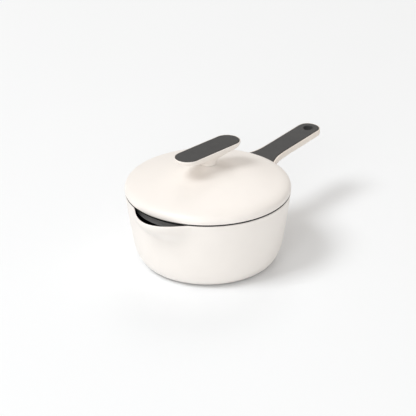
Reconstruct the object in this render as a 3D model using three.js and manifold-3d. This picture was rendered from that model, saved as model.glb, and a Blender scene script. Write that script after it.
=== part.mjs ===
// Lidded saucepan with a pouring lip, a straight two-tone handle and a pill-shaped lid knob.
// Millimetres, +Z up. The origin is the centre of the flat underside. The handle runs along +X and the lip points to -X.
import * as THREE from "three";
import { mergeVertices } from "three/addons/utils/BufferGeometryUtils.js";
import Module from "manifold-3d";

const wasm = await Module();
wasm.setup();

// ---------------------------------------------------------------- driving dimensions
const GAP = 0.3; // clearance between pieces that touch on the real object
const SEG = 48; // columns round the pan, the lid and the seal

// Pan
const RIM_R = 94.5; // outer radius at the rim
const RIM_Z = 85.5; // height of the rim
const WALL = 3.5; // wall thickness
const FOOT_R = 66; // radius of the flat foot
const DISC_R = 62; // induction disc
const DISC_T = 2.0;

// Pouring lip
const LIP_OUT = 17.0; // how far the rim swells outwards at the middle of the lip
const LIP_IN = 18.1; // the same on the inside, so the lip is thinner than the wall
const LIP_HALF = 29.5; // half of the angle that the lip takes up outside, degrees
const LIP_HALF_IN = 31.7; // the same on the inside
const LIP_LOW = 58.5; // height where the swelling starts
const LIP_HIGH = 81.5; // height where it has reached its full depth

// Lid
const LID_R = 95; // widest radius of the lid
const BOSS_R = 9.7; // seat of the knob
const BOSS_Z = 118.5;
const LID_YAW = -7; // how far the lid stands turned on the pan, degrees

// Knob
const KNOB_A = 47; // half of the length
const KNOB_B = 15.65; // half of the width
const KNOB_Z = 137.4; // top of the rim round the pad
const PAD_A = 45.6;
const PAD_B = 14.2;
const PAD_GROOVE = 0.55; // shadow groove round the pad
const PAD_T = 1.5;
const KNOB_BORE = 4.5;

// Handle
const HANDLE_RISE = 2.0; // degrees
const HANDLE_X0 = 105; // the handle's frame: a point on its top face
const HANDLE_Z0 = 89.3;
const HANDLE_T = 9.4; // depth of the shell along the grip
const ROOT_EXTRA = 6.4; // how much deeper the shell is at the root, where it covers the bracket
const HANDLE_W = 14.5; // half width of the straight part
const HANDLE_END = 211.0; // world X of the tip
const HANDLE_ROOT_R = 97; // the root's upper edge stands clear of the lid on this radius
const BORDER = 1.1; // light border left round the dark inlay
const BORDER_ROOT = 1.1; // how much wider that border is at the root
const INLAY_T = 1.8;
const HOLE_X = 197.5; // hanging hole
const HOLE_R = 5.8;
const COLLAR_R = 7.4;

// Bracket and fasteners
const RIVET_Y = 7.6;
const RIVET_Z = 78.0;
const RIVET_R = 1.9;
const TANG_END = 142;
const TANG_HALF = 6.5;
const TANG_TOP = -4.3; // in the handle's frame
const TANG_T = 2.4;
const SCREWS_X = { handle_screw_front: 112, handle_screw_rear: 134 };
const SCREW_HEAD = -8.3; // upper side of a screw's head, in the handle's frame

// ---------------------------------------------------------------- helpers
const V2 = (r, z) => new THREE.Vector2(r, z);
const rad = THREE.MathUtils.degToRad;

// A geometry with one vertex for each point.
function welded(geometry) {
  geometry.deleteAttribute("normal");
  geometry.deleteAttribute("uv");
  return mergeVertices(geometry, 1e-4);
}

// A closed geometry as a solid. Triangles that have collapsed on the axis are dropped.
function solid(geometry) {
  const m = welded(geometry.clone());
  const p = m.attributes.position.array;
  const src = m.index.array;
  const tris = [];
  for (let i = 0; i < src.length; i += 3) {
    const [a, b, c] = [src[i], src[i + 1], src[i + 2]];
    if (a !== b && b !== c && a !== c) tris.push(a, b, c);
  }
  let v6 = 0;
  for (let i = 0; i < tris.length; i += 3) {
    const [a, b, c] = [tris[i] * 3, tris[i + 1] * 3, tris[i + 2] * 3];
    v6 +=
      p[a] * (p[b + 1] * p[c + 2] - p[b + 2] * p[c + 1]) -
      p[a + 1] * (p[b] * p[c + 2] - p[b + 2] * p[c]) +
      p[a + 2] * (p[b] * p[c + 1] - p[b + 1] * p[c]);
  }
  if (v6 < 0)
    for (let i = 0; i < tris.length; i += 3)
      [tris[i + 1], tris[i + 2]] = [tris[i + 2], tris[i + 1]];
  return new wasm.Manifold(
    new wasm.Mesh({
      numProp: 3,
      vertProperties: new Float32Array(p),
      triVerts: new Uint32Array(tris),
    }),
  );
}

// A solid back as a geometry with flat faces.
function geometryOf(s) {
  const m = s.getMesh();
  const v = new Float32Array(m.numVert * 3);
  for (let i = 0; i < m.numVert; i++)
    v.set(m.vertProperties.subarray(i * m.numProp, i * m.numProp + 3), i * 3);
  const g = new THREE.BufferGeometry()
    .setAttribute("position", new THREE.BufferAttribute(v, 3))
    .setIndex(new THREE.BufferAttribute(new Uint32Array(m.triVerts), 1));
  const flat = g.toNonIndexed();
  flat.computeVertexNormals();
  return flat;
}

// A profile of [radius, height] points turned about +Z.
const turned = (pts, seg = SEG) =>
  welded(
    new THREE.LatheGeometry(
      pts.map(([r, z]) => V2(r, z)),
      seg,
    ),
  ).rotateX(Math.PI / 2);

// A section that closes on itself, turned about +Z into a ring.
const ring = (pts, seg = SEG) => turned([...pts, pts[0]], seg);

const drum = (r, z0, z1, seg = 24) =>
  turned(
    [
      [0, z0],
      [r, z0],
      [r, z1],
      [0, z1],
    ],
    seg,
  );

const block = (x0, x1, y0, y1, z0, z1) =>
  new THREE.BoxGeometry(x1 - x0, y1 - y0, z1 - z0).translate(
    (x0 + x1) / 2,
    (y0 + y1) / 2,
    (z0 + z1) / 2,
  );

// A stack of rounded-end outlines (half length, half width, height), made from a lathe whose columns are moved.
function stadiumStack(levels, columns = 36) {
  const g = new THREE.LatheGeometry(
    levels.map((_, i) => V2(1, i)),
    columns,
  );
  const p = g.attributes.position;
  const half = columns / 2;
  for (let i = 0; i < p.count; i++) {
    const column = Math.floor(i / levels.length) % columns;
    const [a, b, z] = levels[i % levels.length];
    const right = column < half;
    const t = right
      ? -90 + (180 * column) / (half - 1)
      : 90 + (180 * (column - half)) / (half - 1);
    const run = Math.max(a - b, 0) * (right ? 1 : -1);
    p.setXYZ(i, run + b * Math.cos(rad(t)), b * Math.sin(rad(t)), z);
  }
  return g;
}

function mesh(name, s, colour, roughness, metalness = 0) {
  const m = new THREE.Mesh(
    geometryOf(s),
    new THREE.MeshStandardMaterial({ color: colour, roughness, metalness }),
  );
  m.name = name;
  return m;
}

const CREAM = 0xf1ebe3;
const CHARCOAL = 0x4a4a4a;
const STEEL = 0xb9bbbd;

// ---------------------------------------------------------------- pan
const outerWall = [
  [FOOT_R, 0],
  [70, 0.7],
  [74, 2.5],
  [77.6, 6],
  [80.9, 11],
  [83.2, 16.4],
  [85.1, 22.5],
  [86.9, 31.5],
  [88.4, 41],
  [89.8, 50],
  [90.99, LIP_LOW],
  [91.34, 61],
  [91.76, 64],
  [92.18, 67],
  [92.6, 70],
  [93.01, 73],
  [93.41, 76],
  [93.94, 80],
  [RIM_R, 84.4],
  [94.15, 85.2],
  [93.4, RIM_Z],
];
const innerWall = [
  [91.7, RIM_Z],
  [91.1, 85.2],
  [RIM_R - WALL, 84.4],
  [90.43, 80],
  [89.92, 76],
  [89.51, 73],
  [89.1, 70],
  [88.68, 67],
  [88.26, 64],
  [87.84, 61],
  [87.49, LIP_LOW],
  [86.3, 50],
  [84.9, 41],
  [83.4, 31.5],
  [81.4, 22.5],
  [78.9, 16.6],
  [75.2, 12],
  [70, 8.6],
  [63, 6.7],
  [0, 6.5],
];
const panProfile = [
  [0, DISC_T + GAP],
  [DISC_R + GAP, DISC_T + GAP],
  [DISC_R + GAP, 0],
  ...outerWall,
  ...innerWall,
];

// How much of the lip's swelling a point at this direction and height gets, 0 to 1.
// Going down from the rim it stays full for a short collar, then draws in along an S curve.
function lipShare(x, y, z, half) {
  const off = THREE.MathUtils.radToDeg(Math.abs(Math.atan2(y, -x)));
  if (off >= half || z <= LIP_LOW) return 0;
  const across = Math.cos(rad((90 * off) / half)) ** 2;
  const up = Math.min((z - LIP_LOW) / (LIP_HIGH - LIP_LOW), 1);
  return across * up * up * (3 - 2 * up);
}

function panShell() {
  const g = turned(panProfile);
  const p = g.attributes.position;
  for (let i = 0; i < p.count; i++) {
    const [x, y, z] = [p.getX(i), p.getY(i), p.getZ(i)];
    const r = Math.hypot(x, y);
    if (z < 50 || r < 80) continue;
    const wallR = z > 84 ? 92.6 : 77.8 + (z - 60) * 0.13 + 11.6;
    const outside = r > wallR;
    const share = lipShare(x, y, z, outside ? LIP_HALF : LIP_HALF_IN);
    const k = (r + share * (outside ? LIP_OUT : LIP_IN)) / r;
    p.setXYZ(i, x * k, y * k, z);
  }
  return solid(g);
}

// The rivets stand square to the wall, which leans out by a few degrees.
const WALL_LEAN = Math.atan2(94.0 - 92.6, 80.5 - 70);
const RIVET_WALL_R = 92.6 + (RIVET_Z - 70) * ((94.0 - 92.6) / 10.5);
function rivetPlace(side) {
  const turn = Math.asin(RIVET_Y / RIVET_WALL_R) * side;
  return new THREE.Matrix4()
    .makeRotationZ(turn)
    .multiply(new THREE.Matrix4().makeTranslation(RIVET_WALL_R, 0, RIVET_Z))
    .multiply(new THREE.Matrix4().makeRotationY(Math.PI / 2 + WALL_LEAN));
}
const boreAt = (place, r, z0, z1) =>
  solid(drum(r, z0, z1, 16).applyMatrix4(place));

let pan = panShell();
for (const side of [-1, 1])
  pan = pan.subtract(boreAt(rivetPlace(side), RIVET_R + GAP, -8, 6));
const panBody = mesh("pan_body", pan, CREAM, 0.35, 0.1);

const inductionDisc = mesh(
  "induction_base_disc",
  solid(
    turned([
      [0, 0],
      [DISC_R - 0.6, 0],
      [DISC_R, 0.6],
      [DISC_R, DISC_T],
      [0, DISC_T],
    ]),
  ),
  STEEL,
  0.35,
  1,
);

// ---------------------------------------------------------------- handle
const handleFrame = new THREE.Group();
handleFrame.position.set(HANDLE_X0, 0, HANDLE_Z0);
handleFrame.rotation.y = -rad(HANDLE_RISE);
handleFrame.updateMatrixWorld(true);
const toHandle = handleFrame.matrixWorld.clone().invert();
const inHandle = (geometry) => solid(geometry.applyMatrix4(toHandle));

// Half width of the shell against world X, widening into the root.
const FLARE = [
  [86, 25.6],
  [91, 24.0],
  [95, 22.7],
  [99, 21.6],
  [102, 20.8],
  [105, 19.9],
  [108.5, 18.5],
  [112.5, 17.2],
  [117, 16.1],
  [122.5, 15.5],
  [128, 15.0],
  [135, 14.6],
  [146, HANDLE_W],
];
const END_POWER = 2.25; // 2 is a half circle; more is squarer
function handlePoints(inset, atRoot = 0) {
  const end = [];
  const r = HANDLE_W - inset;
  const centre = HANDLE_END - HANDLE_W;
  const bend = (v) => Math.sign(v) * Math.abs(v) ** (2 / END_POWER);
  for (let i = 0; i <= 14; i++) {
    const t = rad(90 - (180 * i) / 14);
    const c = Math.abs(Math.cos(t)) < 1e-9 ? 0 : Math.cos(t);
    end.push([centre + r * bend(c), r * bend(Math.sin(t))]);
  }
  const side = ([x, w]) =>
    w - inset - atRoot * THREE.MathUtils.clamp((137 - x) / 26, 0, 1);
  const upper = FLARE.map((p) => [p[0], side(p)]);
  const lower = [...FLARE].reverse().map((p) => [p[0], -side(p)]);
  return [...upper, ...end, ...lower].map(([x, y]) => V2(x - HANDLE_X0, y));
}
const plate = (inset, z0, z1) =>
  new THREE.ExtrudeGeometry(new THREE.Shape(handlePoints(inset, BORDER_ROOT)), {
    depth: z1 - z0,
    bevelEnabled: false,
  }).translate(0, 0, z0);

// The handle's outline at a list of insets and heights, made from a lathe whose columns are moved; both ends close on the centre line.
// A level's third number says how much of the root's extra depth it takes.
const rootShare = (x) => {
  const t = THREE.MathUtils.clamp((130 - HANDLE_X0 - x) / 34, 0, 1);
  return t * t * (3 - 2 * t);
};
function outlineStack(levels) {
  const plain = handlePoints(0);
  const columns = plain.length;
  const rows = levels.length + 2;
  const g = new THREE.LatheGeometry(
    Array.from({ length: rows }, (_, i) => V2(1, i)),
    columns,
  );
  const p = g.attributes.position;
  for (let i = 0; i < p.count; i++) {
    const column = Math.floor(i / rows) % columns;
    const row = Math.min(Math.max((i % rows) - 1, 0), levels.length - 1);
    const onAxis = i % rows === 0 || i % rows === rows - 1;
    const [inset, height, extra = 0] = levels[row];
    const drop = extra * ROOT_EXTRA * rootShare(onAxis ? 25 : plain[column].x);
    const at = onAxis ? V2(25, 0) : handlePoints(inset + 1.15 * drop)[column];
    p.setXYZ(i, onAxis ? at.x : Math.max(at.x, plain[0].x), at.y, height - drop);
  }
  return g;
}
const ROUND = 4;
const shellBlank = outlineStack([
  [ROUND + 0.6, -HANDLE_T, 1],
  [ROUND, -HANDLE_T],
  [ROUND * 0.62, -HANDLE_T + ROUND * 0.08],
  [ROUND * 0.29, -HANDLE_T + ROUND * 0.29],
  [ROUND * 0.08, -HANDLE_T + ROUND * 0.62],
  [0, -HANDLE_T + ROUND],
  [0, -0.95],
  [0.22, -0.38],
  [0.62, -0.08],
]);

// Everything inside this turned solid belongs to the pan and the lid.
const keepOut = (clear, rootR) =>
  inHandle(
    turned(
      [
        [0, 40],
        [88.4 + clear, 40],
        [91.2 + clear, 60],
        [92.6 + clear, 70],
        [RIM_R + clear, 84.4],
        [rootR, 85.2],
        [rootR, 130],
        [0, 130],
      ],
      SEG * 2,
    ),
  );

const bore = (worldX, r, z0, z1, seg = 24) =>
  solid(drum(r, z0, z1, seg).translate(worldX - HANDLE_X0, 0, 0));

let inlay = solid(plate(BORDER, -INLAY_T, 0))
  .subtract(inHandle(drum(HANDLE_ROOT_R + 1.2, 40, 130, SEG * 2)))
  .add(bore(HOLE_X, COLLAR_R, -HANDLE_T + 0.2, -INLAY_T / 2))
  .subtract(bore(HOLE_X, HOLE_R, -HANDLE_T - 1, 1));

const pocket = solid(plate(BORDER - GAP, -INLAY_T - GAP, 2)).subtract(
  inHandle(drum(HANDLE_ROOT_R + 0.9, 40, 130, SEG * 2)),
);

// The saddle's front outline, wide above and narrow below, run along X.
function saddlePrism(grow) {
  const pts = [
    [14, 84.2],
    [14, 80.2],
    [8.8, 74.7],
    [-8.8, 74.7],
    [-14, 80.2],
    [-14, 84.2],
  ].map(([y, z]) =>
    V2(y + Math.sign(y) * grow, z + (z > 80.1 ? (z > 84 ? grow : 0) : -grow)),
  );
  const g = new THREE.ExtrudeGeometry(new THREE.Shape(pts), {
    depth: 25,
    bevelEnabled: false,
  });
  // Extruded along +Z with the outline in XY: turn it so that the outline stands in YZ and the run is along +X.
  const m = new THREE.Matrix4().makeBasis(
    new THREE.Vector3(0, 1, 0),
    new THREE.Vector3(0, 0, 1),
    new THREE.Vector3(1, 0, 0),
  );
  m.setPosition(80, 0, 0);
  return inHandle(g.applyMatrix4(m));
}

let shell = solid(shellBlank)
  .subtract(keepOut(0.4, HANDLE_ROOT_R))
  .subtract(pocket)
  .subtract(bore(HOLE_X, COLLAR_R + GAP, -HANDLE_T - 1, 1));
// Space for the bracket: a shallow chamber at the root and a slot for the tang.
shell = shell
  .subtract(
    inHandle(drum(99.0, 70, 90, SEG * 2)).intersect(saddlePrism(GAP)),
  )
  .subtract(
    solid(
      block(
        85 - HANDLE_X0,
        TANG_END + GAP - HANDLE_X0,
        -TANG_HALF - GAP,
        TANG_HALF + GAP,
        TANG_TOP - TANG_T - GAP,
        TANG_TOP + GAP,
      ),
    ),
  );
for (const x of Object.values(SCREWS_X))
  shell = shell
    .subtract(bore(x, 3.3, -HANDLE_T - ROOT_EXTRA - 1, SCREW_HEAD + GAP, 20))
    .subtract(bore(x, 1.8, SCREW_HEAD - 0.4, TANG_TOP - TANG_T + 0.5, 16));

// Riveted saddle with a flat tang.
const saddleRing = (() => {
  const c = 0.3;
  const t = 2.2;
  return inHandle(
    ring(
      [
        [93.1 + c, 73.6],
        [94.47 + c, 84.2],
        [94.47 + c + t, 84.2],
        [93.1 + c + t, 73.6],
      ],
      SEG * 2,
    ),
  );
})();
const toHandlePlace = (m) => toHandle.clone().multiply(m);
let bracket = saddleRing.intersect(saddlePrism(0)).add(
  solid(
    block(
      95.6 - HANDLE_X0,
      TANG_END - HANDLE_X0,
      -TANG_HALF,
      TANG_HALF,
      TANG_TOP - TANG_T,
      TANG_TOP,
    ),
  ),
);
for (const side of [-1, 1])
  bracket = bracket.subtract(
    solid(
      drum(RIVET_R + GAP, -8, 6, 16).applyMatrix4(
        toHandlePlace(rivetPlace(side)),
      ),
    ),
  );
for (const x of Object.values(SCREWS_X))
  bracket = bracket.subtract(bore(x, 1.8, -10, 0, 16));

handleFrame.add(
  mesh("handle_shell", shell, CREAM, 0.45),
  mesh("handle_grip_inlay", inlay, CHARCOAL, 0.7),
  mesh("handle_bracket", bracket, STEEL, 0.35, 1),
);
for (const [name, x] of Object.entries(SCREWS_X)) {
  const screw = turned(
    [
      [0, SCREW_HEAD - 0.9],
      [1.6, SCREW_HEAD - 0.9],
      [2.6, SCREW_HEAD - 0.6],
      [3.0, SCREW_HEAD],
      [1.5, SCREW_HEAD],
      [1.5, TANG_TOP - 0.6],
      [1.1, TANG_TOP - 0.2],
      [0, TANG_TOP - 0.2],
    ],
    16,
  );
  const m = mesh(name, solid(screw), STEEL, 0.3, 1);
  m.position.x = x - HANDLE_X0;
  handleFrame.add(m);
}

const rivetProfile = [
  [0, -5.4],
  [1.6, -5.3],
  [2.8, -4.9],
  [3.3, -4.2],
  [3.3, -3.85],
  [RIVET_R, -3.85],
  [RIVET_R, 2.85],
  [2.5, 2.85],
  [2.4, 3.5],
  [1.6, 4.0],
  [0, 4.0],
];
const rivets = [
  ["bracket_rivet_left", 1],
  ["bracket_rivet_right", -1],
].map(([name, side]) => {
  const m = mesh(name, solid(turned(rivetProfile, 16)), STEEL, 0.35, 1);
  rivetPlace(side).decompose(m.position, m.quaternion, m.scale);
  return m;
});

// ---------------------------------------------------------------- lid
const lidFrame = new THREE.Group();
lidFrame.rotation.z = rad(LID_YAW);

const lidProfile = [
  [2.5, BOSS_Z],
  [9.2, BOSS_Z],
  [BOSS_R, 118.1],
  [10.8, 117.3],
  [12.8, 116.2],
  [16.6, 114.6],
  [22, 112.9],
  [30, 111.1],
  [40, 109.2],
  [50, 107.3],
  [60, 105.2],
  [70, 102.9],
  [79, 100.7],
  [85, 99.0],
  [90, 97.0],
  [92.3, 95.6],
  [93.8, 93.8],
  [94.75, 91.2],
  [LID_R, 88.8],
  [94.5, 87.3],
  [92.9, 86.6],
  [89.3, 86.6],
  [89.3, 83.6],
  [87.3, 83.6],
  [87.3, 89.6],
  [86.0, 93.4],
  [82.5, 96.0],
  [77.5, 98.2],
  [69.4, 100.3],
  [59.4, 102.7],
  [49.4, 104.8],
  [39.4, 106.7],
  [29.4, 108.6],
  [21.2, 110.4],
  [15.4, 112.2],
  [11.4, 113.9],
  [8.8, 116.1],
  [2.5, 116.1],
];
const lidShell = mesh("lid_shell", solid(ring(lidProfile)), CREAM, 0.35, 0.1);

// Silicone ring: a flat leg lies on the rim, an upright leg stands round the locating flange, wraps under it, and a thin skirt hangs from it inside the rim.
const sealRing = mesh(
  "lid_seal_ring",
  solid(
    ring([
      [87.0, 74.6],
      [87.9, 74.6],
      [87.9, 82.4],
      [90.3, 82.4],
      [90.5, 82.8],
      [90.5, 85.8],
      [94.2, 85.8],
      [94.2, 86.3],
      [89.6, 86.3],
      [89.6, 83.3],
      [87.0, 83.3],
    ]),
  ),
  0x1d1d1e,
  0.7,
);

const knobLevels = [
  [0, 0, 118.8],
  [9.0, 9.0, 118.8],
  [9.0, 9.0, 119.25],
  [9.6, 9.6, 119.4],
  [BOSS_R, BOSS_R, 119.8],
  [9.9, 9.8, 121.2],
  [10.7, 10.2, 122.9],
  [12.7, 11.0, 125],
  [16.0, 11.9, 126.7],
  [21.5, 12.7, 128.3],
  [30, 13.5, 129.9],
  [38, 14.1, 130.8],
  [42.6, 14.5, 131.5],
  [45.3, 15.0, 132.9],
  [46.6, 15.4, 134.8],
  [KNOB_A, KNOB_B, 136.5],
  [46.8, 15.45, 137.1],
  [46.5, 15.15, KNOB_Z],
  [PAD_A + PAD_GROOVE, PAD_B + PAD_GROOVE, KNOB_Z],
  [PAD_A + PAD_GROOVE, PAD_B + PAD_GROOVE, KNOB_Z - PAD_T - 0.1],
  [0, 0, KNOB_Z - PAD_T - 0.1],
];
const knobBody = mesh(
  "knob_body",
  solid(stadiumStack(knobLevels)).subtract(
    solid(drum(KNOB_BORE, 110, 131.3, 20)),
  ),
  CREAM,
  0.45,
);
const knobPad = mesh(
  "knob_pad",
  solid(
    stadiumStack([
      [0, 0, KNOB_Z + 0.2 - PAD_T],
      [PAD_A, PAD_B, KNOB_Z + 0.2 - PAD_T],
      [PAD_A, PAD_B, KNOB_Z - 0.2],
      [PAD_A - 0.4, PAD_B - 0.4, KNOB_Z + 0.2],
      [0, 0, KNOB_Z + 0.2],
    ]),
  ),
  CHARCOAL,
  0.7,
);
const knobInsert = mesh(
  "knob_insert",
  solid(
    ring(
      [
        [2.3, 119.4],
        [4.2, 119.4],
        [4.2, 123.2],
        [3.6, 123.7],
        [3.6, 126.2],
        [4.2, 126.7],
        [4.2, 130.8],
        [2.3, 130.8],
      ],
      20,
    ),
  ),
  0xb08d4c,
  0.4,
  1,
);
const knobScrew = mesh(
  "knob_screw",
  solid(
    turned(
      [
        [0, 110.9],
        [2.6, 110.9],
        [3.8, 111.5],
        [4.2, 112.4],
        [4.2, 113.4],
        [2.0, 113.4],
        [2.0, 129.0],
        [1.4, 129.8],
        [0, 129.8],
      ],
      20,
    ),
  ),
  STEEL,
  0.3,
  1,
);
const knobWasher = mesh(
  "knob_washer",
  solid(
    ring(
      [
        [2.4, 113.7],
        [6.4, 113.7],
        [6.4, 114.5],
        [2.4, 114.5],
      ],
      24,
    ),
  ),
  STEEL,
  0.35,
  1,
);
const knobSeal = mesh(
  "knob_seal_washer",
  solid(
    ring(
      [
        [2.4, 114.8],
        [7.2, 114.8],
        [7.2, 115.8],
        [2.4, 115.8],
      ],
      24,
    ),
  ),
  0x1d1d1e,
  0.7,
);

lidFrame.add(
  lidShell,
  knobBody,
  knobPad,
  knobInsert,
  knobScrew,
  knobWasher,
  knobSeal,
);

const saucepan = new THREE.Group();
saucepan.name = "saucepan";
saucepan.add(
  panBody,
  inductionDisc,
  ...rivets,
  handleFrame,
  sealRing,
  lidFrame,
);

export default saucepan;
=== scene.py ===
import bpy, bmesh, math
import numpy as np
from mathutils import Matrix, Vector


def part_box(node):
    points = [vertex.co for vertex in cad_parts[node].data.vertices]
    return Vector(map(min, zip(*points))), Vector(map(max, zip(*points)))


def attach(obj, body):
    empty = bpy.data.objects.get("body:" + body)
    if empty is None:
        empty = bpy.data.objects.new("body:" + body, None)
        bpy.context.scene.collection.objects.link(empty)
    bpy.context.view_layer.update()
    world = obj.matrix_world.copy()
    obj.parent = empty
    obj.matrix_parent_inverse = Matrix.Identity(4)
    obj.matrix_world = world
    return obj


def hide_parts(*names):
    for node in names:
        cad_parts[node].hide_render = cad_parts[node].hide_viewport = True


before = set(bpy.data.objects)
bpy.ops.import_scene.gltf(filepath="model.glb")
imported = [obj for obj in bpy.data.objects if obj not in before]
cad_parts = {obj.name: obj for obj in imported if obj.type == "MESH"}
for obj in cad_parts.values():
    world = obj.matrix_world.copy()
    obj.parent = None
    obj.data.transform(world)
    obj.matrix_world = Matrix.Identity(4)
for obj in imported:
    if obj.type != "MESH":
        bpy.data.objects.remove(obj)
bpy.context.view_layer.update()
MM = 0.001
TAU = 2 * math.pi

# ------------------------------------------------------------------ places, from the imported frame, in millimetres
def span(node):
    lo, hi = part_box(node)
    return np.array(lo) / MM, np.array(hi) / MM

PAN_LO, PAN_HI = span("pan_body")
LID_LO, LID_HI = span("lid_shell")
DISC_LO, DISC_HI = span("induction_base_disc")
PAD_LO, PAD_HI = span("knob_pad")
KNOB_LO, KNOB_HI = span("knob_body")
SHELL_LO, SHELL_HI = span("handle_shell")
RIM_Z = float(PAN_HI[2])
PAN_R = float(PAN_HI[0])
LID_R = float(LID_HI[1])
TIP_X = 211.0
YAW = math.radians(-7)
YAW_M = Matrix.Rotation(YAW, 4, "Z")

# ------------------------------------------------------------------ curves
def bspline(ctrl, inner, samples, degree=3):
    """Points on a clamped, uniform B-spline."""
    ctrl = np.array(ctrl, float)
    knots = np.r_[[0.0] * (degree + 1), np.linspace(0, 1, inner + 2)[1:-1], [1.0] * (degree + 1)]
    out = []
    for u in np.linspace(0, 1, samples):
        span_i = min(max(int(np.searchsorted(knots, u, side="right")) - 1, degree), len(ctrl) - 1)
        d = [ctrl[j + span_i - degree].copy() for j in range(degree + 1)]
        for r in range(1, degree + 1):
            for j in range(degree, r - 1, -1):
                lo, hi = knots[j + span_i - degree], knots[j + 1 + span_i - r]
                a = (u - lo) / (hi - lo)
                d[j] = (1 - a) * d[j - 1] + a * d[j]
        out.append(d[degree])
    return np.array(out)

def arc(cx, cz, r, a0, a1, n):
    """Points on an arc, angles in degrees from +r towards +z."""
    return [(cx + r * math.cos(math.radians(a)), cz + r * math.sin(math.radians(a))) for a in np.linspace(a0, a1, n)]

def eased(points, steps=5):
    """A polygon of (r, z, fillet) points with its corners rounded."""
    out = []
    n = len(points)
    for i, p in enumerate(points):
        r = p[2] if len(p) > 2 else 0
        if r <= 0:
            out.append((p[0], p[1]))
            continue
        a = np.array(points[i - 1][:2], float)
        b = np.array(p[:2], float)
        c = np.array(points[(i + 1) % n][:2], float)
        u, v = (a - b) / np.linalg.norm(a - b), (c - b) / np.linalg.norm(c - b)
        half = math.acos(max(-1, min(1, float(u @ v)))) / 2
        cut = r / math.tan(half)
        s, e = b + u * cut, b + v * cut
        m = b + (u + v) / np.linalg.norm(u + v) * (r / math.sin(half))
        a0 = math.atan2(*(s - m)[::-1])
        a1 = math.atan2(*(e - m)[::-1])
        turn = (a1 - a0 + math.pi) % TAU - math.pi
        for k in range(steps + 1):
            t = a0 + turn * k / steps
            out.append((m[0] + r * math.cos(t), m[1] + r * math.sin(t)))
    return out

def smooth(t):
    t = np.clip(t, 0, 1)
    return t * t * (3 - 2 * t)

# ------------------------------------------------------------------ meshes
def build(name, verts, faces, materials, indices=None, matrix=None, angle=32, weighted=True):
    """A mesh object from millimetre points. Collapsed points are joined, and faces turn outwards."""
    bm = bmesh.new()
    vs = [bm.verts.new((float(x) * MM, float(y) * MM, float(z) * MM)) for x, y, z in verts]
    for k, f in enumerate(faces):
        try:
            face = bm.faces.new([vs[i] for i in f])
        except ValueError:
            continue
        if indices is not None:
            face.material_index = indices[k]
    bmesh.ops.remove_doubles(bm, verts=bm.verts, dist=2e-6)
    bmesh.ops.dissolve_degenerate(bm, edges=bm.edges, dist=1e-7)
    bmesh.ops.recalc_face_normals(bm, faces=bm.faces)
    if bm.calc_volume(signed=True) < 0:
        bmesh.ops.reverse_faces(bm, faces=bm.faces)
    me = bpy.data.meshes.new(name)
    bm.to_mesh(me)
    bm.free()
    if matrix is not None:
        me.transform(matrix)
    for m in materials:
        me.materials.append(m)
    return finish_object(name, me, angle, weighted)

def finish_object(name, me, angle=32, weighted=True):
    me.shade_smooth()
    me.set_sharp_from_angle(angle=math.radians(angle))
    ob = bpy.data.objects.new(name, me)
    bpy.context.scene.collection.objects.link(ob)
    if weighted:
        w = ob.modifiers.new("weighted", "WEIGHTED_NORMAL")
        w.mode = "FACE_AREA"
        w.keep_sharp = True
        w.weight = 50
    return ob

def grid_faces(rows, cols, loop_rows=False):
    """Quads between rows of a tube whose columns close on themselves."""
    out = []
    last = rows if loop_rows else rows - 1
    for i in range(last):
        a, b = i * cols, ((i + 1) % rows) * cols
        for j in range(cols):
            k = (j + 1) % cols
            out.append((a + j, a + k, b + k, b + j))
    return out

def lathe(name, profile, materials, cols=240, closed=False, bands=None, warp=None, matrix=None, angle=32):
    """A profile of (r, z) turned about +Z. bands gives a material index for each row."""
    pts = np.array([(p[0], p[1]) for p in profile], float)
    t = np.arange(cols) * TAU / cols
    r = np.repeat(pts[:, 0:1], cols, 1)
    z = np.repeat(pts[:, 1:2], cols, 1)
    x, y = r * np.cos(t), r * np.sin(t)
    if warp is not None:
        x, y, z = warp(x, y, z, np.arange(len(pts))[:, None] + np.zeros((1, cols)))
    verts = np.stack([x, y, z], -1).reshape(-1, 3)
    faces = grid_faces(len(pts), cols, closed)
    idx = None if bands is None else [bands[k // cols] for k in range(len(faces))]
    return build(name, verts, faces, materials, idx, matrix, angle)

def stack(name, outlines, materials, bands=None, matrix=None, angle=32, loop_rows=False):
    """Closed outlines of equal length, each an array of (x, y, z), joined one to the next."""
    cols = len(outlines[0])
    verts = np.concatenate([np.array(o, float) for o in outlines])
    faces = grid_faces(len(outlines), cols, loop_rows)
    idx = None if bands is None else [bands[k // cols] for k in range(len(faces))]
    return build(name, verts, faces, materials, idx, matrix, angle)

def cut(ob, cutters, angle=32):
    """Takes cutter objects out of ob's mesh for good, and removes them."""
    mods = []
    for m in list(ob.modifiers):
        ob.modifiers.remove(m)
    for c in cutters:
        for m in list(c.modifiers):
            c.modifiers.remove(m)
        b = ob.modifiers.new("cut", "BOOLEAN")
        b.operation, b.solver, b.object = "DIFFERENCE", "EXACT", c
        mods.append(b)
    bpy.context.view_layer.update()
    dg = bpy.context.evaluated_depsgraph_get()
    me = bpy.data.meshes.new_from_object(ob.evaluated_get(dg))
    name, old = ob.name, ob.data
    for b in mods:
        ob.modifiers.remove(b)
    ob.data = me
    bpy.data.meshes.remove(old)
    me.name = name
    for c in cutters:
        data = c.data
        bpy.data.objects.remove(c)
        bpy.data.meshes.remove(data)
    me.shade_smooth()
    me.set_sharp_from_angle(angle=math.radians(angle))
    w = ob.modifiers.new("weighted", "WEIGHTED_NORMAL")
    w.mode, w.keep_sharp, w.weight = "FACE_AREA", True, 50
    return ob

def prism(name, outline, z0, z1, matrix=None):
    """A closed outline of (x, y) run from z0 to z1, as a cutter."""
    n = len(outline)
    verts = [(x, y, z0) for x, y in outline] + [(x, y, z1) for x, y in outline]
    faces = [tuple(range(n)), tuple(range(n, 2 * n))] + [(i, (i + 1) % n, n + (i + 1) % n, n + i) for i in range(n)]
    return build(name, verts, faces, [], None, matrix, weighted=False)

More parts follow.
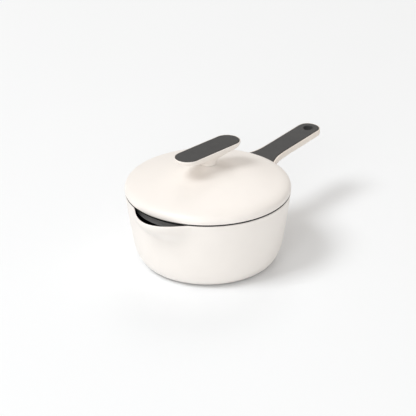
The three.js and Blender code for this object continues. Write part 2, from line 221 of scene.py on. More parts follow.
def tube_cutter(name, x, y, r, z0, z1, matrix=None, n=48):
    return prism(name, [(x + r * math.cos(k * TAU / n), y + r * math.sin(k * TAU / n)) for k in range(n)], z0, z1, matrix)

# ------------------------------------------------------------------ materials
def nodes_of(name):
    m = bpy.data.materials.new(name)
    m.use_nodes = True
    nt = m.node_tree
    nt.nodes.clear()
    out = nt.nodes.new("ShaderNodeOutputMaterial")
    bsdf = nt.nodes.new("ShaderNodeBsdfPrincipled")
    nt.links.new(bsdf.outputs[0], out.inputs[0])
    coord = nt.nodes.new("ShaderNodeTexCoord")
    return m, nt, bsdf, coord.outputs["Object"]

def noise(nt, at, scale, detail=3.0, rough=0.55, distortion=0.0):
    n = nt.nodes.new("ShaderNodeTexNoise")
    n.inputs["Scale"].default_value = scale
    n.inputs["Detail"].default_value = detail
    n.inputs["Roughness"].default_value = rough
    n.inputs["Distortion"].default_value = distortion
    nt.links.new(at, n.inputs["Vector"])
    return n.outputs["Fac"]

def ramp(nt, fac, stops):
    r = nt.nodes.new("ShaderNodeValToRGB")
    r.color_ramp.interpolation = "LINEAR"
    while len(r.color_ramp.elements) < len(stops):
        r.color_ramp.elements.new(0.5)
    for e, (p, c) in zip(r.color_ramp.elements, stops):
        e.position = p
        e.color = (*c, 1) if len(c) == 3 else c
    nt.links.new(fac, r.inputs["Fac"])
    return r.outputs["Color"]

def remap(nt, fac, a, b, c, d):
    n = nt.nodes.new("ShaderNodeMapRange")
    for key, value in zip(("From Min", "From Max", "To Min", "To Max"), (a, b, c, d)):
        n.inputs[key].default_value = value
    nt.links.new(fac, n.inputs["Value"])
    return n.outputs["Result"]

def math_node(nt, op, a, b=None):
    n = nt.nodes.new("ShaderNodeMath")
    n.operation = op
    for k, v in enumerate((a, b)):
        if v is None:
            continue
        if isinstance(v, (int, float)):
            n.inputs[k].default_value = v
        else:
            nt.links.new(v, n.inputs[k])
    return n.outputs[0]

def bump(nt, bsdf, layers):
    """Layers of (height, strength, distance in mm), the first one deepest."""
    normal = None
    for height, strength, distance in layers:
        b = nt.nodes.new("ShaderNodeBump")
        b.inputs["Strength"].default_value = strength
        b.inputs["Distance"].default_value = distance * MM
        nt.links.new(height, b.inputs["Height"])
        if normal is not None:
            nt.links.new(normal, b.inputs["Normal"])
        normal = b.outputs["Normal"]
    nt.links.new(normal, bsdf.inputs["Normal"])

def tint(c, k):
    return tuple(min(1.0, v * k) for v in c)

def enamel(name, colour, rough=0.42):
    """Baked enamel: a faint flow in the gloss, soft orange peel, and a few paler and darker clouds."""
    m, nt, b, at = nodes_of(name)
    cloud = noise(nt, at, 26, 4, 0.5, 0.3)
    nt.links.new(ramp(nt, cloud, [(0.30, tint(colour, 0.982)), (0.55, colour), (0.75, tint(colour, 1.012))]), b.inputs["Base Color"])
    nt.links.new(remap(nt, noise(nt, at, 75, 4, 0.6), 0.3, 0.7, rough - 0.035, rough + 0.045), b.inputs["Roughness"])
    bump(nt, b, [(noise(nt, at, 330, 2, 0.4), 0.05, 0.12), (noise(nt, at, 1500, 2, 0.5), 0.03, 0.04)])
    b.inputs["Coat Weight"].default_value = 0.18
    b.inputs["Coat Roughness"].default_value = 0.28
    b.inputs["Coat IOR"].default_value = 1.5
    b.inputs["IOR"].default_value = 1.5
    return m

def resin(name, colour, rough=0.46):
    """Moulded resin with a fine, even spark-eroded grain."""
    m, nt, b, at = nodes_of(name)
    nt.links.new(ramp(nt, noise(nt, at, 34, 3, 0.5), [(0.3, tint(colour, 0.985)), (0.7, tint(colour, 1.01))]), b.inputs["Base Color"])
    nt.links.new(remap(nt, noise(nt, at, 900, 3, 0.6), 0.3, 0.7, rough - 0.05, rough + 0.06), b.inputs["Roughness"])
    bump(nt, b, [(noise(nt, at, 1300, 3, 0.6), 0.10, 0.05), (noise(nt, at, 160, 2, 0.5), 0.04, 0.08)])
    b.inputs["IOR"].default_value = 1.48
    return m

def soft_touch(name, dark, light, rough=0.62, grain=1700, depth=0.16):
    """Soft-touch coating: a dry, dense grain, a little cloudy."""
    m, nt, b, at = nodes_of(name)
    fine = noise(nt, at, grain, 4, 0.65)
    nt.links.new(ramp(nt, noise(nt, at, 48, 4, 0.6, 0.2), [(0.32, dark), (0.68, light)]), b.inputs["Base Color"])
    nt.links.new(remap(nt, fine, 0.3, 0.7, rough - 0.07, rough + 0.08), b.inputs["Roughness"])
    bump(nt, b, [(fine, depth, 0.06), (noise(nt, at, 240, 2, 0.5), 0.05, 0.08)])
    b.inputs["Sheen Weight"].default_value = 0.05
    b.inputs["Sheen Roughness"].default_value = 0.5
    b.inputs["IOR"].default_value = 1.45
    return m

def nonstick(name, colour):
    """Stone-like non-stick coating: dark ground with fine paler flecks."""
    m, nt, b, at = nodes_of(name)
    v = nt.nodes.new("ShaderNodeTexVoronoi")
    v.inputs["Scale"].default_value = 620
    nt.links.new(at, v.inputs["Vector"])
    fleck = ramp(nt, v.outputs["Distance"], [(0.0, tint(colour, 1.6)), (0.16, tint(colour, 1.12)), (0.26, colour)])
    mix = nt.nodes.new("ShaderNodeMix")
    mix.data_type = "RGBA"
    nt.links.new(remap(nt, noise(nt, at, 60, 4, 0.6), 0.35, 0.65, 0.15, 0.75), mix.inputs[0])
    nt.links.new(ramp(nt, noise(nt, at, 90, 4, 0.6), [(0.3, tint(colour, 0.93)), (0.7, tint(colour, 1.06))]), mix.inputs[6])
    nt.links.new(fleck, mix.inputs[7])
    nt.links.new(mix.outputs[2], b.inputs["Base Color"])
    nt.links.new(remap(nt, noise(nt, at, 420, 3, 0.6), 0.3, 0.7, 0.36, 0.50), b.inputs["Roughness"])
    bump(nt, b, [(noise(nt, at, 700, 3, 0.6), 0.12, 0.06)])
    b.inputs["IOR"].default_value = 1.46
    return m

def silicone(name, colour, inner_leg_painted_light=None):
    """Moulded silicone. With a second colour, the inner leg below the bead that lies on the rim takes that paler
    colour: painted light, standing in for the light that the closed pan keeps from it.
    """
    m, nt, b, at = nodes_of(name)
    tone = ramp(nt, noise(nt, at, 120, 3, 0.6), [(0.3, tint(colour, 0.8)), (0.7, tint(colour, 1.3))])
    if inner_leg_painted_light is not None:
        sep = nt.nodes.new("ShaderNodeSeparateXYZ")
        nt.links.new(at, sep.inputs[0])
        mix = nt.nodes.new("ShaderNodeMix")
        mix.data_type = "RGBA"
        # painted light: near-black bead above 83.2 mm, turning to the paler inner leg below 82.0 mm
        nt.links.new(remap(nt, sep.outputs[2], 0.0832, 0.0820, 0.0, 1.0), mix.inputs[0])
        nt.links.new(tone, mix.inputs[6])
        nt.links.new(ramp(nt, noise(nt, at, 90, 4, 0.6), [(0.3, tint(inner_leg_painted_light, 0.94)), (0.7, tint(inner_leg_painted_light, 1.06))]), mix.inputs[7])
        tone = mix.outputs[2]
    nt.links.new(tone, b.inputs["Base Color"])
    nt.links.new(remap(nt, noise(nt, at, 500, 3, 0.6), 0.3, 0.7, 0.46, 0.60), b.inputs["Roughness"])
    bump(nt, b, [(noise(nt, at, 900, 2, 0.5), 0.08, 0.05)])
    b.inputs["IOR"].default_value = 1.41
    b.inputs["Specular IOR Level"].default_value = 0.18
    return m

def turned_metal(name, colour, rough=0.24, pitch=1400, depth=0.20, ring=True):
    """Metal with fine turning marks round +Z, or along X when ring is off."""
    m, nt, b, at = nodes_of(name)
    sep = nt.nodes.new("ShaderNodeSeparateXYZ")
    nt.links.new(at, sep.inputs[0])
    if ring:
        x2 = math_node(nt, "MULTIPLY", sep.outputs[0], sep.outputs[0])
        y2 = math_node(nt, "MULTIPLY", sep.outputs[1], sep.outputs[1])
        across = math_node(nt, "SQRT", math_node(nt, "ADD", x2, y2))
    else:
        across = sep.outputs[1]
    comb = nt.nodes.new("ShaderNodeCombineXYZ")
    nt.links.new(across, comb.inputs[0])
    nt.links.new(math_node(nt, "MULTIPLY", sep.outputs[2], 0.4), comb.inputs[2])
    marks = noise(nt, comb.outputs[0], pitch, 4, 0.7)
    wide = noise(nt, comb.outputs[0], pitch * 0.12, 2, 0.5)
    nt.links.new(ramp(nt, wide, [(0.3, tint(colour, 0.90)), (0.7, tint(colour, 1.06))]), b.inputs["Base Color"])
    nt.links.new(remap(nt, marks, 0.3, 0.7, rough - 0.06, rough + 0.12), b.inputs["Roughness"])
    bump(nt, b, [(marks, depth, 0.05)])
    b.inputs["Metallic"].default_value = 1.0
    return m

CREAM = (0.885, 0.846, 0.805)
# The handle's cream is the knob's cream made darker and warmer: painted shade, as on the handle's shaded side.
CREAM_RESIN_PAINTED_SHADE = (0.868, 0.796, 0.722)
M_PAN = enamel("pan_enamel", CREAM)
M_LID = enamel("lid_enamel", CREAM, 0.44)
M_INSIDE = nonstick("nonstick_coating", (0.120, 0.118, 0.116))
M_HANDLE_PAINTED_SHADE = resin("handle_resin_painted_shade", CREAM_RESIN_PAINTED_SHADE)
M_KNOB = resin("knob_resin", (0.885, 0.838, 0.790), 0.42)
M_PAD = soft_touch("pad_soft_touch", (0.031, 0.031, 0.032), (0.040, 0.040, 0.040))
M_GRIP = soft_touch("grip_soft_touch", (0.037, 0.037, 0.038), (0.046, 0.046, 0.046))
M_SILICONE = silicone("seal_silicone", (0.012, 0.012, 0.013))
# The seal's second, paler colour is painted light on its inner leg, not the silicone's own colour.
M_SEAL_PAINTED_LIGHT = silicone("lid_seal_silicone_painted_light", (0.014, 0.014, 0.014), (0.385, 0.381, 0.376))
M_DISC = turned_metal("turned_steel", (0.58, 0.58, 0.59))
M_STEEL = turned_metal("fastener_steel", (0.60, 0.60, 0.61), 0.22, 2600, 0.08)
M_PLATE = turned_metal("pressed_steel", (0.56, 0.56, 0.57), 0.30, 1800, 0.10, ring=False)
M_BRASS = turned_metal("turned_brass", (0.62, 0.44, 0.19), 0.28, 2600, 0.10)

# ------------------------------------------------------------------ pan
outer = bspline([[66.0, 0.0], [74.724, 0.18], [84.585, 14.568], [87.735, 37.685], [91.452, 61.244], [93.569, 76.743], [94.5, 84.1]], 3, 62)
inner = bspline([[91.0, 84.3], [90.413, 79.513], [89.046, 69.931], [87.177, 55.647], [84.892, 41.209], [82.938, 27.135], [78.592, 12.574], [64.506, 5.328], [54.852, 6.737], [50.0, 6.5]], 6, 62)
rim_out = arc(PAN_R - 1.4, RIM_Z - 1.4, 1.4, 0, 90, 8)
rim_in = arc(PAN_R - 3.5 + 1.2, RIM_Z - 1.2, 1.2, 90, 180, 7)
disc_r = float(DISC_HI[0])
disc_t = float(DISC_HI[2])
pan_profile = [(0, disc_t + 0.3)] + [(r, disc_t + 0.3) for r in (20, 40, 55)] + eased([(55, disc_t + 0.3), (disc_r + 0.3, disc_t + 0.3), (disc_r + 0.3, 0, 0.3), (64, 0)], 4)[1:]
pan_profile += [(65, 0)] + [tuple(p) for p in outer[:-1]]
rim_start = len(pan_profile)
pan_profile += rim_out + [(PAN_R - 1.9, RIM_Z)] + rim_in[:2]
coat_from = len(pan_profile) - 1
pan_profile += rim_in[2:] + [tuple(p) for p in inner[1:]] + [(r, 6.5) for r in (44, 36, 26, 14, 0)]
wall_side = np.array([0 if k < coat_from else 1 for k in range(len(pan_profile))])
mid_rim = rim_start + len(rim_out)

LIP_HALF, LIP_HALF_IN, LIP_LOW, LIP_HIGH, LIP_OUT, LIP_IN = 29.5, 31.9, 58.5, 81.5, 16.95, 18.1
def lip(x, y, z, row):
    """Swells the rim out into the pouring lip, which is widest at the rim."""
    off = np.degrees(np.abs(np.arctan2(y, -x)))
    inside = np.clip((row - (mid_rim - 4)) / 9.0, 0, 1)
    half = LIP_HALF + (LIP_HALF_IN - LIP_HALF) * inside
    across = np.where(off < half, np.cos(np.radians(90 * off / half)) ** 2, 0)
    up = smooth((z - LIP_LOW) / (LIP_HIGH - LIP_LOW))
    r = np.hypot(x, y)
    swell = across * up * (LIP_OUT + (LIP_IN - LIP_OUT) * inside)
    live = (row > 6) & (r > 60)
    k = np.where(live, (r + swell) / np.maximum(r, 1e-6), 1)
    return x * k, y * k, z

pan = lathe("pan_body_fine", pan_profile, [M_PAN, M_INSIDE], 256, bands=list(wall_side), warp=lip)
RIVET_Y, RIVET_Z = 7.6, 78.0
LEAN = math.atan2(94.0 - 92.6, 80.5 - 70)
RIVET_R = 92.6 + (RIVET_Z - 70) * ((94.0 - 92.6) / 10.5)
def rivet_place(side):
    turn = math.asin(RIVET_Y / RIVET_R) * side
    return Matrix.Rotation(turn, 4, "Z") @ Matrix.Translation((RIVET_R * MM, 0, RIVET_Z * MM)) @ Matrix.Rotation(math.pi / 2 + LEAN, 4, "Y")
cut(pan, [tube_cutter("bore", 0, 0, 2.05, -8, 6, rivet_place(s), 24) for s in (-1, 1)])
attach(pan, "pan"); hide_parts("pan_body")

groove = []
for r in (8, 20, 32, 44, 54):
    groove += [(r - 0.55, 0.0), (r - 0.30, 0.16), (r + 0.30, 0.16), (r + 0.55, 0.0)]
disc = lathe("induction_disc_fine", [(0, 0)] + groove + eased([(55.5, 0), (disc_r, 0, 0.5), (disc_r, disc_t, 0.25), (56, disc_t)], 5)[1:-1] + [(56, disc_t), (0, disc_t)], [M_DISC], 192)
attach(disc, "pan"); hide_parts("induction_base_disc")

rivet_profile = [(0, -5.4), (0.8, -5.37)] + [(3.3 * math.sin(a), -4.05 - 1.35 * math.cos(a)) for a in np.radians([24, 38, 52, 66, 78, 88])] + [(3.3, -3.95), (3.2, -3.85), (1.9, -3.85), (1.9, 2.85)] + [(2.4, 2.85), (2.5, 2.95), (2.45, 3.3), (2.2, 3.65), (1.7, 3.92), (1.0, 4.0), (0, 4.0)]
for name, side in (("bracket_rivet_left", 1), ("bracket_rivet_right", -1)):
    o = lathe(name + "_fine", rivet_profile, [M_STEEL], 40, matrix=rivet_place(side))
    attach(o, "pan"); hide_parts(name)

# ------------------------------------------------------------------ handle
RISE = math.radians(2.0)
HX, HZ = 105.0, 89.3
HANDLE_M = Matrix.Translation((HX * MM, 0, HZ * MM)) @ Matrix.Rotation(-RISE, 4, "Y")
HALF_W, DEPTH, ROUND = 14.5, 9.4, 4.0
HOLE_X, HOLE_R, COLLAR_R = 197.5, 5.8, 7.4
flare_curve = bspline([[86.0, 25.6], [90.431, 23.721], [99.844, 22.072], [113.109, 16.283], [127.4, 14.895], [141.695, 14.306], [151.241, 14.58], [156.0, 14.5]], 4, 300)
def half_width(x):
    return np.interp(x, flare_curve[:, 0], flare_curve[:, 1])

def wall_r(z):
    return np.interp(z, [40, 60, 70, 84.4, 85.2], [88.8, 91.6, 93.0, 94.9, 95.3])

def cut_r(z, root):
    """The radius on which the handle's root ends at a height."""
    return root if z > 85.2 else wall_r(z)

def world_xz(u, h):
    return HX + u * math.cos(RISE) - h * math.sin(RISE), HZ + u * math.sin(RISE) + h * math.cos(RISE)

def root_u(y, h, root):
    """Where the root arc lies on the line (y, h) of the handle's own frame."""
    u = -8.0
    for _ in range(4):
        _, z = world_xz(u, h)
        x = math.sqrt(max(cut_r(z, root) ** 2 - y * y, 1))
        u = (x - HX + h * math.sin(RISE)) / math.cos(RISE)
    return u

N_SIDE, N_RUNG, N_TIP, N_FADE = 64, 18, 44, 14
SPLIT = HOLE_X - 13.0
CENTRE = TIP_X - HALF_W
def outline(inset, h, root, drop=None, power=2.25, taper=0.0):
    """The handle's outline as columns: +Y side from root to tip, the tip, -Y side back, then the root arc. drop(x) deepens it."""
    d = (lambda x: 0.0) if drop is None else drop
    extra = 1.15
    def side(x):
        return max(float(half_width(x)) - inset - extra * d(x) - 1.1 * taper * min(max((137 - x) / 26, 0), 1), 0.4)
    y = side(98.0)
    for _ in range(8):
        u = root_u(y, h - d(HX - 8), root)
        y = side(u + HX)
    x0 = u + HX
    right = [(x0 + (SPLIT - x0) * i / N_SIDE, None) for i in range(N_SIDE + 1)]
    right = [(x, side(x)) for x, _ in right]
    run = [(SPLIT + (CENTRE - SPLIT) * k / 8, HALF_W - inset) for k in range(1, 8)]
    r = HALF_W - inset
    bend = lambda v: math.copysign(abs(v) ** (2 / power), v) if abs(v) > 1e-9 else 0.0
    tip = [(CENTRE + r * bend(math.cos(t)), r * bend(math.sin(t))) for t in (math.pi / 2 - math.pi * k / N_TIP for k in range(N_TIP + 1))]
    back = [(x, -w) for x, w in reversed(run)]
    left = [(x, -w) for x, w in reversed(right)]
    arc_pts = []
    for k in range(1, N_RUNG):
        yy = -y + 2 * y * k / N_RUNG
        arc_pts.append((root_u(yy, h - d(HX - 8), root) + HX, yy))
    pts = right + run + tip + back + left + arc_pts
    return [(x - HX, w, h - d(x)) for x, w in pts]
N_COL = 2 * (N_SIDE + 1) + 2 * 7 + (N_TIP + 1) + N_RUNG - 1
T0 = N_SIDE + 1
T1 = T0 + 7 + N_TIP + 1 + 7      # first column of the -Y side
class Solid:
    """Points and faces of one handle piece, in the handle's frame."""
    def __init__(self):
        self.v, self.f, self.m = [], [], []
    def add(self, pts):
        start = len(self.v)
        self.v += [tuple(map(float, p)) for p in pts]
        return list(range(start, start + len(pts)))
    def bridge(self, a, b, mat=0):
        n = len(a)
        for i in range(n):
            j = (i + 1) % n
            self.f.append((a[i], a[j], b[j], b[i])); self.m.append(mat)
    def fill(self, loop, hole_rings, mat=0):
        """Closes a loop by rungs across to SPLIT and by rings round the hanging hole. Returns the innermost ring."""
        right = loop[: N_SIDE + 1]
        left = list(reversed(loop[T1 : T1 + N_SIDE + 1]))
        rungs = []
        arc_ids = loop[T1 + N_SIDE + 1 :]
        rungs.append([right[0]] + list(reversed(arc_ids)) + [left[0]])
        p0 = [self.v[i] for i in rungs[0]]
        for i in range(1, N_SIDE + 1):
            a, b = np.array(self.v[right[i]]), np.array(self.v[left[i]])
            fade = max(0.0, 1 - i / N_FADE) ** 2
            row = [right[i]]
            for k in range(1, N_RUNG):
                t = k / N_RUNG
                p = a + (b - a) * t
                p[0] += (p0[k][0] - p0[0][0]) * fade
                row.append(self.add([p])[0])
            row.append(left[i])
            rungs.append(row)
        for i in range(N_SIDE):
            for k in range(N_RUNG):
                self.f.append((rungs[i][k], rungs[i][k + 1], rungs[i + 1][k + 1], rungs[i + 1][k])); self.m.append(mat)
        rim = rungs[-1][::-1][:-1] + [right[-1]] + loop[T0:T1]
        rim = rim[: len(rim)]
        cx = HOLE_X - HX
        ang = []
        for i in rim:
            p = self.v[i]
            ang.append(math.atan2(p[1], p[0] - cx))
        h = self.v[rim[0]][2]
        prev = rim
        outer_pts = np.array([self.v[i] for i in rim])
        r_first = hole_rings[0][0]
        base = np.array([(cx + r_first * math.cos(t), r_first * math.sin(t), hole_rings[0][1]) for t in ang])
        for s in (0.34, 0.67):
            ids = self.add(outer_pts * (1 - s) + base * s)
            self.bridge(prev, ids, mat)
            prev = ids
        for r, z in hole_rings:
            ids = self.add([(cx + r * math.cos(t), r * math.sin(t), z) for t in ang])
            self.bridge(prev, ids, mat)
            prev = ids
        return prev
    def make(self, name, mats, **kw):
        return build(name, self.v, self.f, mats, self.m, HANDLE_M, **kw)

def belly(share):
    return lambda x: 6.4 * share * float(smooth((130 - x) / 34.0))

INLAY_IN = 1.48
# The border rolls off outwards from the groove round the grip.
s = Solid()
rows = [(0.86, -2.1, 1), (0.86, -0.54, 1), (0.83, -0.41, 0.97), (0.77, -0.33, 0.9)]
rows += [(0.74 - 0.74 * math.sin(a), -1.25 + 0.94 * math.cos(a), 0.85 * (1 - math.sin(a))) for a in np.radians([6, 20, 34, 48, 62, 76, 90])]
rows += [(0, -2.2, 0), (0, -DEPTH + ROUND, 0)]
rows += [(ROUND - ROUND * math.cos(a), -DEPTH + ROUND - ROUND * math.sin(a), 0) for a in np.radians([8, 18, 28, 38, 48, 58, 68, 78, 86])]
loops = [s.add(outline(i, h, 97.0, taper=t)) for i, h, t in rows]
first = loops[0]
for t in (0.0, 0.12, 0.25, 0.4, 0.55, 0.7, 0.85, 1.0):
    share = float(smooth(t))
    loops.append(s.add(outline(ROUND + 0.9 * t, -DEPTH, 97.0, belly(share)) if t > 0 else outline(ROUND, -DEPTH, 97.0)))
for a, b in zip(loops, loops[1:]):
    s.bridge(a, b)
top_hole = s.fill(first, [(COLLAR_R + 0.9, -2.1), (COLLAR_R + 0.15, -2.1)])
low_hole = s.fill(loops[-1], [(COLLAR_R + 1.2, -DEPTH), (COLLAR_R + 0.6, -DEPTH), (COLLAR_R + 0.35, -DEPTH + 0.07), (COLLAR_R + 0.15, -DEPTH + 0.3)])
s.bridge(top_hole, low_hole)
shell = s.make("handle_shell_fine", [M_HANDLE_PAINTED_SHADE], angle=34)

def in_handle(x, y, r, z0, z1, n=40):
    return tube_cutter("bore", x - HX, y, r, z0, z1, HANDLE_M, n)
def box_cutter(x0, x1, y0, y1, z0, z1, matrix):
    return prism("box", [(x0, y0), (x1, y0), (x1, y1), (x0, y1)], z0, z1, matrix)
chamber_pts = []
for k in range(25):
    a = math.radians(-9.2 + 18.4 * k / 24)
    chamber_pts.append((99.0 * math.cos(a), 99.0 * math.sin(a)))
chamber_pts = [(85.0, -14.3)] + [(x, y) for x, y in chamber_pts if abs(y) < 14.3] + [(85.0, 14.3)]
chamber = prism("chamber", chamber_pts, 74.4, 84.5)
cutters = [chamber, box_cutter(85 - HX, 142.3 - HX, -6.8, 6.8, -7.0, -4.0, HANDLE_M)]
SCREWS = {"handle_screw_front": 112.0, "handle_screw_rear": 134.0}
for x in SCREWS.values():
    cutters += [in_handle(x, 0, 3.3, -17, -8.0), in_handle(x, 0, 1.7, -8.5, -5.7, 24)]
cut(shell, cutters, 34)
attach(shell, "pan"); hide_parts("handle_shell")

s = Solid()
rows = [(INLAY_IN, -1.8), (INLAY_IN, -0.42)] + [(INLAY_IN + 0.42 - 0.42 * math.cos(a), -0.42 + 0.42 * math.sin(a)) for a in np.radians([18, 36, 54, 72, 90])] + [(INLAY_IN + 0.62, 0.0)]
loops = [s.add(outline(i, h, 98.2 + (i - INLAY_IN), taper=1)) for i, h in rows]
for a, b in zip(loops, loops[1:]):
    s.bridge(a, b)
lip_rings = [(HOLE_R + 1.1, 0.0), (HOLE_R + 0.75, 0.0)] + [(HOLE_R + 0.7 - 0.7 * math.sin(a), -0.7 + 0.7 * math.cos(a)) for a in np.radians([15, 35, 55, 75, 90])]
top_hole = s.fill(loops[-1], lip_rings)
low = s.fill(loops[0], [(COLLAR_R, -1.8), (COLLAR_R, -DEPTH + 0.55), (COLLAR_R - 0.12, -DEPTH + 0.28), (COLLAR_R - 0.35, -DEPTH + 0.2), (HOLE_R + 0.35, -DEPTH + 0.2), (HOLE_R + 0.1, -DEPTH + 0.3), (HOLE_R, -DEPTH + 0.55)])
s.bridge(top_hole, low)
inlay = s.make("handle_grip_fine", [M_GRIP], angle=34)
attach(inlay, "pan"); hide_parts("handle_grip_inlay")

def cross_recess(r, z0, z1, matrix):
    """A four-armed driver recess that narrows as it goes in."""
    w, t = r, r * 0.30
    pts = [(w, -t), (w, t), (t, t), (t, w), (-t, w), (-t, t), (-w, t), (-w, -t), (-t, -t), (-t, -w), (t, -w), (t, -t)]
    n = len(pts)
    verts = [(x, y, z0) for x, y in pts] + [(x * 0.45, y * 0.45, z1) for x, y in pts]
    faces = [tuple(range(n)), tuple(range(n, 2 * n))] + [(i, (i + 1) % n, n + (i + 1) % n, n + i) for i in range(n)]
    return build("recess", verts, faces, [], None, matrix, weighted=False)

for name, x in SCREWS.items():
    at = HANDLE_M @ Matrix.Translation(((x - HX) * MM, 0, 0))
    thread = []
    z = -7.9
    while z < -5.1:
        thread += [(1.5, z), (1.22, z + 0.2)]
        z += 0.4
    prof = [(0, -9.2), (1.2, -9.17), (2.0, -9.04), (2.6, -8.82), (2.9, -8.6), (3.0, -8.42), (2.92, -8.3), (1.5, -8.3)] + thread + [(1.1, -4.6), (0.6, -4.5), (0, -4.5)]
    o = lathe(name + "_fine", prof, [M_STEEL], 40, matrix=at)
    cut(o, [cross_recess(1.55, -9.6, -8.45, at)])
    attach(o, "pan"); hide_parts(name)

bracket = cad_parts["handle_bracket"]
bracket.data.materials.clear()
bracket.data.materials.append(M_PLATE)

# ------------------------------------------------------------------ seal
seal = lathe("lid_seal_fine", eased([(87.0, 74.6, 0.3), (87.9, 74.6, 0.3), (87.9, 82.4, 0.3), (90.5, 82.4, 0.3), (90.5, 85.72, 0.15), (94.0, 85.72, 0.1), (94.45, 85.6, 0.1), (94.45, 86.6, 0.15), (89.6, 86.6, 0.12), (89.6, 83.3, 0.2), (87.0, 83.3, 0.3)], 4), [M_SEAL_PAINTED_LIGHT], 240, closed=True)
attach(seal, "lid_seal"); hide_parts("lid_seal_ring")

# ------------------------------------------------------------------ lid
top = bspline([[9.7, 118.1], [12.836, 115.796], [20.326, 113.104], [31.683, 110.695], [43.288, 108.626], [54.535, 106.425], [66.503, 103.769], [76.917, 101.223], [89.719, 98.014], [95.067, 93.959], [LID_R, 88.8]], 7, 90)
under = bspline([[87.3, 89.6], [87.356, 93.916], [78.52, 98.402], [67.614, 100.637], [55.254, 103.765], [43.658, 105.895], [31.268, 108.18], [20.001, 110.537], [11.352, 113.241], [8.8, 116.1]], 6, 60)
edge = arc(LID_R - 1.4, 88.3, 1.4, -8, -90, 8)
lid_profile = [(2.5, 118.5), (6, 118.5)] + eased([(6, 118.5), (9.7, 118.5, 0.4), (9.7, 118.1)], 5)[1:-1] + [tuple(p) for p in top] + edge
lid_profile += [(91, 86.9)] + eased([(91, 86.9), (89.3, 86.9), (89.3, 83.6, 0.5), (87.3, 83.6, 0.5), (87.3, 89.4)], 5)[1:-1]
lid_profile += [(87.3, 86.5)] + [tuple(p) for p in under] + [(8.2, 116.1), (2.5, 116.1)]
lid = lathe("lid_shell_fine", lid_profile, [M_LID], 256, closed=True, matrix=YAW_M)
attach(lid, "lid"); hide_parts("lid_shell")

# ------------------------------------------------------------------ knob
def stadium(a, b, z, n=176):
    """A rounded-end outline with n points spaced evenly along it."""
    run = max(a - b, 0.0)
    quarter = run + b * math.pi / 2
    pts = []
    q = n // 4
    for part in range(4):
        for k in range(q):
            s_at = quarter * k / q
            if part % 2:
                s_at = quarter - s_at
            # s_at is measured from the end of the long axis
            if b > 0 and s_at < b * math.pi / 2:
                t = s_at / b
                x, y = run + b * math.cos(t), b * math.sin(t)
            else:
                x, y = run - (s_at - b * math.pi / 2), b
            sx, sy = ((1, 1), (-1, 1), (-1, -1), (1, -1))[part]
            pts.append((sx * x, sy * y, z))
    return pts

knob_curve = bspline([[9.7, 9.7, 119.8], [9.606, 9.639, 121.454], [11.857, 10.942, 125.331], [18.063, 12.466, 127.464], [24.147, 12.894, 128.99], [30.635, 13.599, 130.026], [36.745, 14.027, 130.803], [43.8, 14.457, 131.075], [46.806, 15.37, 134.0], [47.0, 15.65, 136.5]], 6, 64)
KNOB_TOP = float(KNOB_HI[2])
PA, PB, POCKET = 45.6, 14.2, 0.55
knob_rows = [(0.0, 0.0, 131.3), (4.5, 4.5, 131.3), (4.5, 4.5, 118.8), (6.5, 6.5, 118.8), (9.0, 9.0, 118.8), (9.0, 9.0, 119.22), (9.28, 9.28, 119.27), (9.55, 9.55, 119.4), (9.67, 9.67, 119.58)]
knob_rows += [tuple(p) for p in knob_curve]
for a in np.radians([20, 40, 60, 78, 90]):
    knob_rows.append((47.0 - 0.5 + 0.5 * math.cos(a), 15.65 - 0.5 + 0.5 * math.cos(a), KNOB_TOP - 0.5 + 0.5 * math.sin(a)))
knob_rows += [(PA + POCKET + 0.18, PB + POCKET + 0.18, KNOB_TOP), (PA + POCKET + 0.06, PB + POCKET + 0.06, KNOB_TOP - 0.06), (PA + POCKET, PB + POCKET, KNOB_TOP - 0.2), (PA + POCKET, PB + POCKET, 135.8), (PA * 0.8, PB * 0.55, 135.8), (PA - PB, 0.0, 135.8)]
knob = stack("knob_body_fine", [stadium(*r) for r in knob_rows], [M_KNOB], matrix=YAW_M)
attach(knob, "lid"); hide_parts("knob_body")

PAD_TOP = float(PAD_HI[2])
pad_rows = [(PA - PB, 0.0, 136.1), (PA - 2, PB - 2, 136.1), (PA - 0.2, PB - 0.2, 136.1), (PA, PB, 136.3), (PA, PB, PAD_TOP - 0.4)]
pad_rows += [(PA - 0.4 + 0.4 * math.cos(a), PB - 0.4 + 0.4 * math.cos(a), PAD_TOP - 0.4 + 0.4 * math.sin(a)) for a in np.radians([18, 36, 54, 72, 90])]
pad_rows += [(PA - k, PB - k, PAD_TOP) for k in (0.6, 2, 4, 6, 8, 10, 12)] + [(PA - PB, 0.0, PAD_TOP)]
pad = stack("knob_pad_fine", [stadium(*r) for r in pad_rows], [M_PAD], matrix=YAW_M)
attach(pad, "lid"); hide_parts("knob_pad")

def knurl(x, y, z, row):
    r = np.hypot(x, y)
    t = np.arctan2(y, x)
    bands = (r > 3.9) & (((z > 119.9) & (z < 122.8)) | ((z > 127.2) & (z < 130.3)))
    k = np.where(bands, 1 + 0.035 * (np.sign(np.cos(t * 20)) - 1) / 2, 1)
    return x * k, y * k, z
insert_profile = eased([(2.3, 119.4, 0.15), (4.2, 119.4, 0.2), (4.2, 119.8), (4.2, 120.0), (4.2, 122.7), (4.2, 123.1), (3.6, 123.6), (3.6, 126.3), (4.2, 126.8), (4.2, 127.3), (4.2, 130.2), (4.2, 130.8, 0.2), (2.3, 130.8, 0.15)], 3)
o = lathe("knob_insert_fine", insert_profile, [M_BRASS], 160, closed=True, warp=knurl, matrix=YAW_M)
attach(o, "lid"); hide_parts("knob_insert")

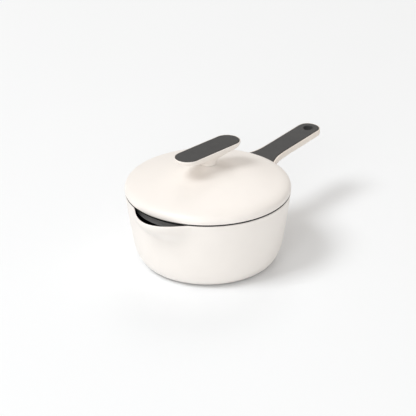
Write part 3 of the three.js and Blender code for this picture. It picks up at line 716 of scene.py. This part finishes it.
thread = []
z = 116.4
while z < 128.6:
    thread += [(2.0, z), (1.68, z + 0.35)]
    z += 0.7
screw_profile = [(0, 110.9), (1.4, 110.93), (2.6, 111.12), (3.4, 111.5), (3.95, 112.05), (4.2, 112.7), (4.2, 113.25), (4.05, 113.4), (2.0, 113.4)] + thread + [(1.5, 129.4), (1.1, 129.8), (0, 129.8)]
o = lathe("knob_screw_fine", screw_profile, [M_STEEL], 48, matrix=YAW_M)
cut(o, [cross_recess(2.2, 110.5, 112.5, YAW_M)])
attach(o, "lid"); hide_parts("knob_screw")
o = lathe("knob_washer_fine", eased([(2.4, 113.7, 0.12), (6.4, 113.7, 0.25), (6.4, 114.5, 0.12), (2.4, 114.5, 0.12)], 4), [M_STEEL], 72, closed=True, matrix=YAW_M)
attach(o, "lid"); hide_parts("knob_washer")
o = lathe("knob_seal_washer_fine", eased([(2.4, 114.8, 0.2), (7.2, 114.8, 0.35), (7.2, 115.8, 0.35), (2.4, 115.8, 0.2)], 4), [M_SILICONE], 72, closed=True, matrix=YAW_M)
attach(o, "lid"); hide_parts("knob_seal_washer")

# ------------------------------------------------------------------ floor, light, camera
def floor_material():
    m, nt, b, at = nodes_of("floor_paper")
    nt.links.new(ramp(nt, noise(nt, at, 3, 2, 0.5), [(0.3, (0.893, 0.913, 0.932)), (0.7, (0.899, 0.919, 0.938))]), b.inputs["Base Color"])
    b.inputs["Roughness"].default_value = 0.95
    b.inputs["Specular IOR Level"].default_value = 0.1
    return m
bm = bmesh.new()
bmesh.ops.create_grid(bm, x_segments=8, y_segments=8, size=12.0)
me = bpy.data.meshes.new("floor")
bm.to_mesh(me); bm.free()
me.materials.append(floor_material())
floor = bpy.data.objects.new("floor", me)
bpy.context.scene.collection.objects.link(floor)
floor.location = (0, 0, -0.0004)

AIM = Vector((0, 0, 0.06))
def area(name, azimuth, elevation, distance, size, power, colour=(1, 1, 1), size_y=None, aim=AIM):
    """A soft light. Azimuth is measured like the camera's: 0 stands at -Y, 90 at +X."""
    a, e = math.radians(azimuth), math.radians(elevation)
    back = Vector((math.sin(a) * math.cos(e), -math.cos(a) * math.cos(e), math.sin(e)))
    data = bpy.data.lights.new(name, "AREA")
    data.shape = "RECTANGLE"
    data.size, data.size_y = size, size_y or size
    data.energy, data.color = power, colour
    ob = bpy.data.objects.new(name, data)
    bpy.context.scene.collection.objects.link(ob)
    ob.location = aim + back * distance
    ob.rotation_mode = "QUATERNION"
    ob.rotation_quaternion = (-back).to_track_quat("-Z", "Y")
    return ob

VIEW_AZ = -52.2
area("key_left", VIEW_AZ - 60, 55, 6.0, 2.3, 170.0, (0.975, 0.99, 1.0))
area("front_fill", VIEW_AZ - 13, 20, 6.5, 3.4, 91.0, (0.985, 0.993, 1.0))
area("back_soft", VIEW_AZ + 172, 42, 6.0, 2.6, 42.0, (1.0, 0.985, 0.965))

world = bpy.data.worlds.new("studio")
bpy.context.scene.world = world
world.use_nodes = True
bg = world.node_tree.nodes["Background"]
bg.inputs["Color"].default_value = (1.0, 0.957, 0.914, 1)
bg.inputs["Strength"].default_value = 0.565

cam_data = bpy.data.cameras.new("camera")
cam = bpy.data.objects.new("camera", cam_data)
bpy.context.scene.collection.objects.link(cam)
cam_data.sensor_width = 36.0
cam_data.lens = 188.5
cam_data.shift_x, cam_data.shift_y = -0.0004, 0.0233
cam_data.clip_start, cam_data.clip_end = 0.05, 60
back = Vector((-0.7084, -0.5495, 0.4431)).normalized()
cam.location = Vector((0, 0, 0.05)) + back * 2.5
cam.rotation_mode = "QUATERNION"
cam.rotation_quaternion = (-back).to_track_quat("-Z", "Y") @ Matrix.Rotation(math.radians(-0.49), 3, "Z").to_quaternion()
bpy.context.scene.camera = cam
bpy.context.scene.view_settings.view_transform = "Standard"
